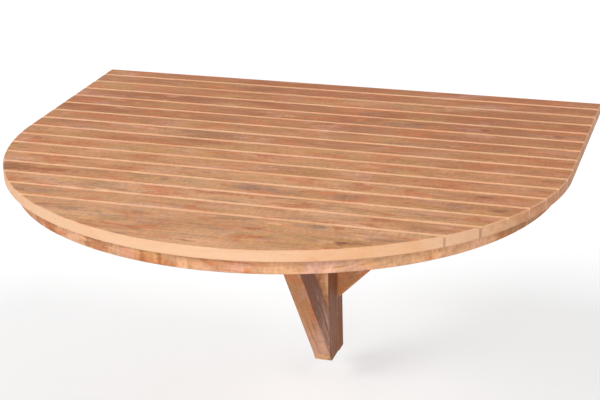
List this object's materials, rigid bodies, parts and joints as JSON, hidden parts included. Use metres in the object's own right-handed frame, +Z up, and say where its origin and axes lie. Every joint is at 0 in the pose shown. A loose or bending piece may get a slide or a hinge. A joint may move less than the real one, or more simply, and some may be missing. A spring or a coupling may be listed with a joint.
{
  "type": "wall mounted drop leaf table",
  "caption": "Half-oval slatted table leaf hinged to a narrow wall shelf, held level by a triangular gate that swings flat against a braced wall frame.",
  "frame": {"origin": "on the wall plane, at the middle of the wall rail's row of fixing holes", "axes": "+X along the wall to the right as seen from the room, -Y out from the wall into the room, +Z up"},
  "size_m": [0.67, 0.545, 0.382],
  "materials": {
    "teak_deck": "oiled, satin",
    "teak_hoop": "oiled, satin",
    "teak_bracket": "oiled, satin",
    "dowel_beech": "plain",
    "hinge_brass": "brushed",
    "screw_steel": "plain"
  },
  "bodies": {
    "wall_frame": {"wall_rail": "teak_bracket", "wall_post": "teak_bracket", "knee_brace_left": "teak_bracket", "knee_brace_right": "teak_bracket", "shelf_ledger": "teak_hoop", "slat_01": "teak_deck", "slat_02": "teak_deck", "frame_dowels": "dowel_beech", "shelf_screws": "screw_steel", "fixed_hinge_screws": "screw_steel", "gate_hinge_lower_fixed_plate": "hinge_brass", "gate_hinge_lower_pin": "hinge_brass", "gate_hinge_upper_fixed_plate": "hinge_brass", "gate_hinge_upper_pin": "hinge_brass", "leaf_hinge_left_fixed_plate": "hinge_brass", "leaf_hinge_left_pin": "hinge_brass", "leaf_hinge_right_fixed_plate": "hinge_brass", "leaf_hinge_right_pin": "hinge_brass"},
    "leaf": {"back_rail": "teak_hoop", "batten_centre": "teak_hoop", "batten_left": "teak_hoop", "batten_right": "teak_hoop", "bearer_screws": "screw_steel", "front_board": "teak_deck", "gate_bearer": "teak_bracket", "gate_stop": "teak_bracket", "hoop_centre_left": "teak_hoop", "hoop_centre_right": "teak_hoop", "hoop_dowels": "dowel_beech", "hoop_left_corner": "teak_hoop", "hoop_left_front": "teak_hoop", "hoop_right_corner": "teak_hoop", "hoop_right_front": "teak_hoop", "leaf_hinge_left_moving_plate": "hinge_brass", "leaf_hinge_right_moving_plate": "hinge_brass", "leaf_hinge_screws": "screw_steel", "leaf_screws": "screw_steel", "side_rail_left": "teak_hoop", "side_rail_right": "teak_hoop", "slat_03": "teak_deck", "slat_04": "teak_deck", "slat_05": "teak_deck", "slat_06": "teak_deck", "slat_07": "teak_deck", "slat_08": "teak_deck", "slat_09": "teak_deck", "slat_10": "teak_deck", "slat_11": "teak_deck", "slat_12": "teak_deck", "slat_13": "teak_deck", "slat_14": "teak_deck", "slat_15": "teak_deck"},
    "gate": {"gate_post": "teak_bracket", "gate_top_rail": "teak_bracket", "gate_strut": "teak_bracket", "gate_dowels": "dowel_beech", "gate_hinge_screws": "screw_steel", "gate_hinge_upper_moving_plate": "hinge_brass", "gate_hinge_lower_moving_plate": "hinge_brass"}
  },
  "joints": [
    {"name": "gate_swing", "type": "hinge", "parent": "wall_frame", "child": "gate", "pos_m": [-0.0345, -0.02375, -0.172], "axis": [0, 0, -1], "range_deg": [0, 90]},
    {"name": "leaf_lift", "type": "hinge", "parent": "wall_frame", "child": "leaf", "pos_m": [0, -0.055, 0.0265], "axis": [-1, 0, 0], "range_deg": [0, 8]}
  ]
}
